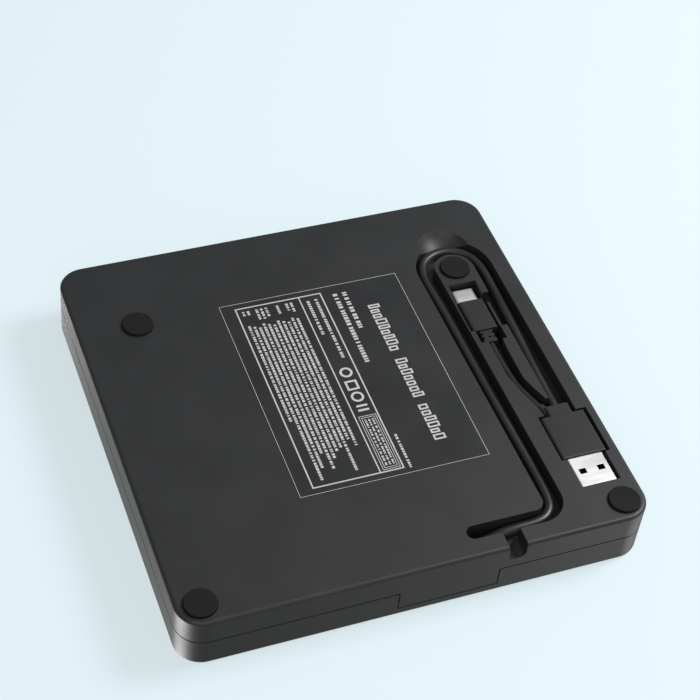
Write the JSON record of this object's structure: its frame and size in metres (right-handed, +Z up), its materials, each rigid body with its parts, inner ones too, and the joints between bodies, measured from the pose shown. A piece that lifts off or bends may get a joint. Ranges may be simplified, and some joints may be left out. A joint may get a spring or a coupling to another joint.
{
  "type": "external optical drive",
  "caption": "Flat slim-tray external disc drive in a two-shell housing whose underside stores its own cord, with a large and a small plug.",
  "frame": {"origin": "under the middle of the housing, on the plane the feet stand on", "axes": "+X to the drive's right, the side with the cord store; +Y to the rear wall with the cord outlet; +Z up; the tray leaves towards -Y"},
  "size_m": [0.148, 0.146, 0.0208],
  "materials": {
    "housing_plastic": "fine matt texture",
    "bezel_plastic": "satin",
    "screw_steel": "plated",
    "label_film": "printed film, satin",
    "foot_rubber": "matt",
    "cord_jacket": "soft satin",
    "lead_insulation": "extruded",
    "plug_overmould": "satin moulding",
    "plug_metal": "nickel plated, drawn",
    "plug_insulator": "moulded",
    "sheet_steel": "zinc plated sheet",
    "acetal": "natural acetal",
    "circuit_board": "solder mask",
    "chip_resin": "moulded resin",
    "flex_film": "polyimide film",
    "spring_steel": "polished",
    "tray_plastic": "fine texture",
    "light_pipe": "clear moulding",
    "winding_copper": "enamelled winding",
    "motor_steel": "drawn can",
    "die_casting": "as cast",
    "actuator_plastic": "moulded",
    "lens_glass": "coated lens"
  },
  "bodies": {
    "housing": {"bottom_shell": "housing_plastic", "top_cover": "housing_plastic", "case_screws": "screw_steel", "rating_label": "label_film", "cord_relief": "cord_jacket", "usb_cord": "cord_jacket", "tether_cord": "cord_jacket", "inner_leads": "lead_insulation", "usb_a_overmould": "plug_overmould", "usb_a_shell": "plug_metal", "usb_a_tongue": "plug_insulator", "usb_c_overmould": "plug_overmould", "usb_c_shell": "plug_metal", "usb_c_tongue": "plug_insulator", "drive_pan": "sheet_steel", "drive_cover": "sheet_steel", "cover_screws": "screw_steel", "drive_brackets": "sheet_steel", "bay_screws": "screw_steel", "left_rail_guide": "acetal", "right_rail_guide": "acetal", "main_board": "circuit_board", "main_board_chips": "chip_resin", "tray_flex": "flex_film", "sata_socket": "plug_insulator", "eject_spring": "spring_steel", "bridge_board": "circuit_board", "sata_plug": "plug_insulator", "bridge_chips": "chip_resin", "cord_header": "plug_insulator", "foot_front_left": "foot_rubber", "foot_front_right": "foot_rubber", "foot_rear_left": "foot_rubber", "foot_rear_right": "foot_rubber"},
    "tray": {"tray": "tray_plastic", "tray_bezel": "bezel_plastic", "led_light_pipe": "light_pipe", "front_board": "circuit_board", "eject_switch": "chip_resin", "traverse_plate": "sheet_steel", "traverse_dampers": "foot_rubber", "guide_rods": "spring_steel", "motor_base": "sheet_steel", "motor_stator": "winding_copper", "sled_motor": "motor_steel", "latch_pin": "spring_steel", "latch_solenoid": "motor_steel"},
    "left_rail": {"left_slide_rail": "sheet_steel"},
    "right_rail": {"right_slide_rail": "sheet_steel"},
    "pusher": {"eject_pusher": "acetal"},
    "button": {"eject_button": "bezel_plastic"},
    "spindle": {"spindle_rotor": "motor_steel", "turntable": "tray_plastic", "turntable_ring": "foot_rubber", "clamp_balls": "spring_steel"},
    "pickup": {"pickup_sled": "die_casting", "lens_actuator": "actuator_plastic", "objective_lens": "lens_glass"},
    "screw": {"lead_screw": "spring_steel"},
    "latch": {"latch_lever": "acetal"}
  },
  "joints": [
    {"name": "tray_slide", "type": "slide", "parent": "housing", "child": "tray", "axis": [0, -1, 0], "range_m": [0, 0.128]},
    {"name": "left_rail_slide", "type": "slide", "parent": "housing", "child": "left_rail", "axis": [0, -1, 0], "range_m": [0, 0.064]},
    {"name": "right_rail_slide", "type": "slide", "parent": "housing", "child": "right_rail", "axis": [0, -1, 0], "range_m": [0, 0.064]},
    {"name": "pusher_slide", "type": "slide", "parent": "housing", "child": "pusher", "axis": [0, -1, 0], "range_m": [0, 0.01]},
    {"name": "button_press", "type": "slide", "parent": "tray", "child": "button", "axis": [0, 1, 0], "range_m": [0, 0.0005], "stiffness_N_per_m": 600, "springref_m": -0.001},
    {"name": "spindle_spin", "type": "hinge", "parent": "tray", "child": "spindle", "pos_m": [0, -0.0068, 0.0161], "axis": [0, 0, 1], "continuous": true},
    {"name": "sled_slide", "type": "slide", "parent": "tray", "child": "pickup", "axis": [0.7071, -0.7071, 0], "range_m": [0, 0.033]},
    {"name": "lead_screw_turn", "type": "hinge", "parent": "tray", "child": "screw", "pos_m": [0.04045, -0.02292, 0.0122], "axis": [0.7071, -0.7071, 0], "range_deg": [0, 3962]},
    {"name": "latch_swing", "type": "hinge", "parent": "tray", "child": "latch", "pos_m": [-0.0452, -0.0462, 0.011], "axis": [0, 0, 1], "range_deg": [0, 10]}
  ],
  "couplings": [
    {"joint": "left_rail_slide", "follows": "tray_slide", "ratio": 0.5},
    {"joint": "right_rail_slide", "follows": "tray_slide", "ratio": 0.5},
    {"joint": "pusher_slide", "follows": "tray_slide", "ratio": 0.078125},
    {"joint": "lead_screw_turn", "follows": "sled_slide", "rad_per_m": 2094.4}
  ]
}
